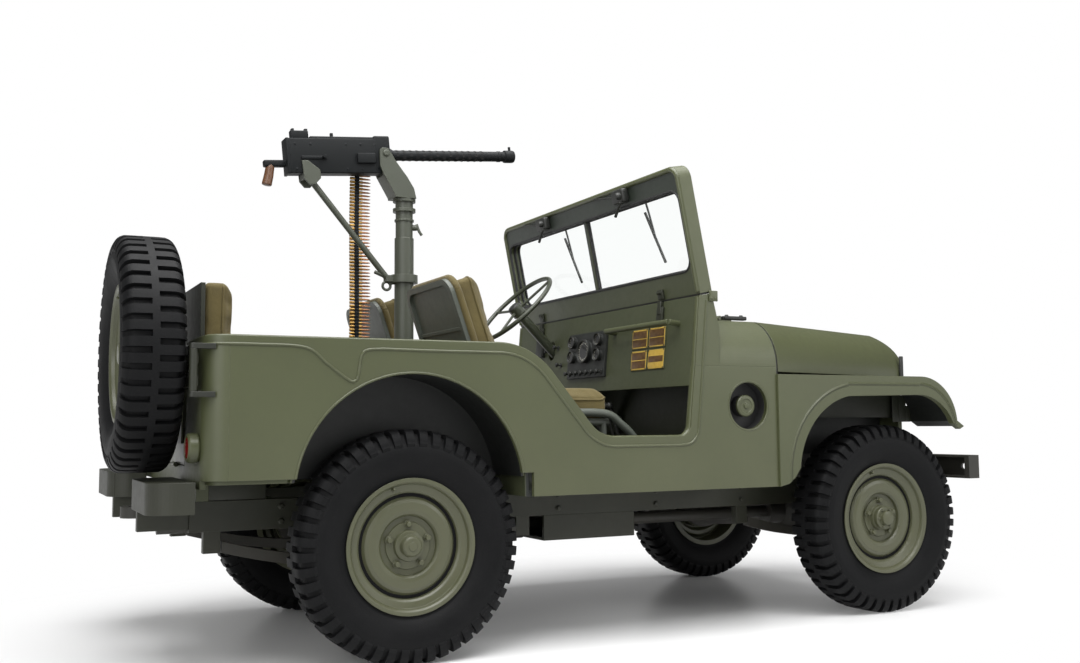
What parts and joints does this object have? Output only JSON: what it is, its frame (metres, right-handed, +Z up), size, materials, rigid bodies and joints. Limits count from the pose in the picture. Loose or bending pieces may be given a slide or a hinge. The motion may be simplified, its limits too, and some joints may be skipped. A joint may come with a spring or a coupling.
{
  "type": "light four by four military utility car",
  "caption": "Open-topped light four by four military car with rounded fenders, folding windshield, side-hung spare wheel and a display gun on a pedestal.",
  "frame": {"origin": "on the ground under the centre of the bounding box", "axes": "+X forward, +Y to the car's left, +Z up"},
  "size_m": [3.5199, 1.54, 1.9381],
  "materials": {
    "tyre_rubber": "matte",
    "gun_steel": "parkerised",
    "dash_metal": "satin",
    "belt_brass": "dull",
    "glass": "clear",
    "lamp_glass": "clear",
    "canvas": "woven",
    "dark_paint": "satin",
    "castings": "rough",
    "green_paint": "satin"
  },
  "bodies": {
    "body": {"chassis_rails": "dark_paint", "cross_members": "dark_paint", "front_bumper": "dark_paint", "rear_bumperettes": "green_paint", "tow_pintle": "dark_paint", "front_axle": "dark_paint", "rear_axle": "dark_paint", "leaf_springs": "dark_paint", "engine_block": "castings", "radiator": "dark_paint", "gearbox": "castings", "propeller_shafts": "dark_paint", "skid_plate": "dark_paint", "exhaust": "dark_paint", "floor_pan": "green_paint", "wheelhouses": "green_paint", "side_panel_left": "green_paint", "side_panel_right": "green_paint", "side_socket": "green_paint", "rear_panel": "green_paint", "tailgate": "green_paint", "cowl": "green_paint", "dash_fittings": "dash_metal", "grille": "green_paint", "lamps": "lamp_glass", "fender_left": "green_paint", "fender_right": "green_paint", "steering_column": "green_paint", "seat_frame_left": "green_paint", "seat_frame_right": "green_paint", "bench_frame": "green_paint", "seat_cushions": "canvas", "levers": "dark_paint", "gun_pedestal": "green_paint", "gun": "gun_steel", "gun_strut": "gun_steel", "cartridge_belt": "belt_brass"},
    "hood": {"hood": "green_paint"},
    "windshield": {"windshield_frame": "green_paint", "windshield_glass": "glass", "wipers": "dark_paint"},
    "knuckle_left": {"knuckle_left": "dark_paint"},
    "knuckle_right": {"knuckle_right": "dark_paint"},
    "wheel_front_left": {"tyre_fl": "tyre_rubber", "rim_fl": "green_paint"},
    "wheel_front_right": {"tyre_fr": "tyre_rubber", "rim_fr": "green_paint"},
    "wheel_rear_left": {"tyre_rl": "tyre_rubber", "rim_rl": "green_paint"},
    "wheel_rear_right": {"tyre_rr": "tyre_rubber", "rim_rr": "green_paint"},
    "steering_wheel": {"steering_wheel": "green_paint"},
    "spare_carrier": {"spare_carrier": "green_paint", "spare_rim": "green_paint", "spare_tyre": "tyre_rubber"}
  },
  "joints": [
    {"name": "steer_left", "type": "hinge", "parent": "body", "child": "knuckle_left", "pos_m": [1.205, 0.525, 0.38], "axis": [0, 0, 1], "range_deg": [-24, 24]},
    {"name": "steer_right", "type": "hinge", "parent": "body", "child": "knuckle_right", "pos_m": [1.205, -0.525, 0.38], "axis": [0, 0, 1], "range_deg": [-24, 24]},
    {"name": "spin_front_left", "type": "hinge", "parent": "knuckle_left", "child": "wheel_front_left", "pos_m": [1.205, 0.6255, 0.38], "axis": [0, 1, 0], "continuous": true},
    {"name": "spin_front_right", "type": "hinge", "parent": "knuckle_right", "child": "wheel_front_right", "pos_m": [1.205, -0.6255, 0.38], "axis": [0, 1, 0], "continuous": true},
    {"name": "spin_rear_left", "type": "hinge", "parent": "body", "child": "wheel_rear_left", "pos_m": [-0.852, 0.6255, 0.38], "axis": [0, 1, 0], "continuous": true},
    {"name": "spin_rear_right", "type": "hinge", "parent": "body", "child": "wheel_rear_right", "pos_m": [-0.852, -0.6255, 0.38], "axis": [0, 1, 0], "continuous": true},
    {"name": "steering_wheel_turn", "type": "hinge", "parent": "body", "child": "steering_wheel", "pos_m": [0.053, 0.4, 1.3], "axis": [-0.7071, 0, 0.7071], "range_deg": [-290, 290]},
    {"name": "hood_lift", "type": "hinge", "parent": "body", "child": "hood", "pos_m": [0.608, 0, 1.207], "axis": [0, -1, 0], "range_deg": [0, 86]},
    {"name": "windshield_fold", "type": "hinge", "parent": "body", "child": "windshield", "pos_m": [0.318, 0, 1.262], "axis": [0, -1, 0], "range_deg": [-98, 0]},
    {"name": "spare_swing", "type": "hinge", "parent": "body", "child": "spare_carrier", "pos_m": [-1.56, -0.745, 0.94], "axis": [0, 0, 1], "range_deg": [0, 95]}
  ],
  "couplings": [
    {"joint": "steer_right", "follows": "steer_left", "ratio": 1},
    {"joint": "steering_wheel_turn", "follows": "steer_left", "ratio": 12}
  ]
}
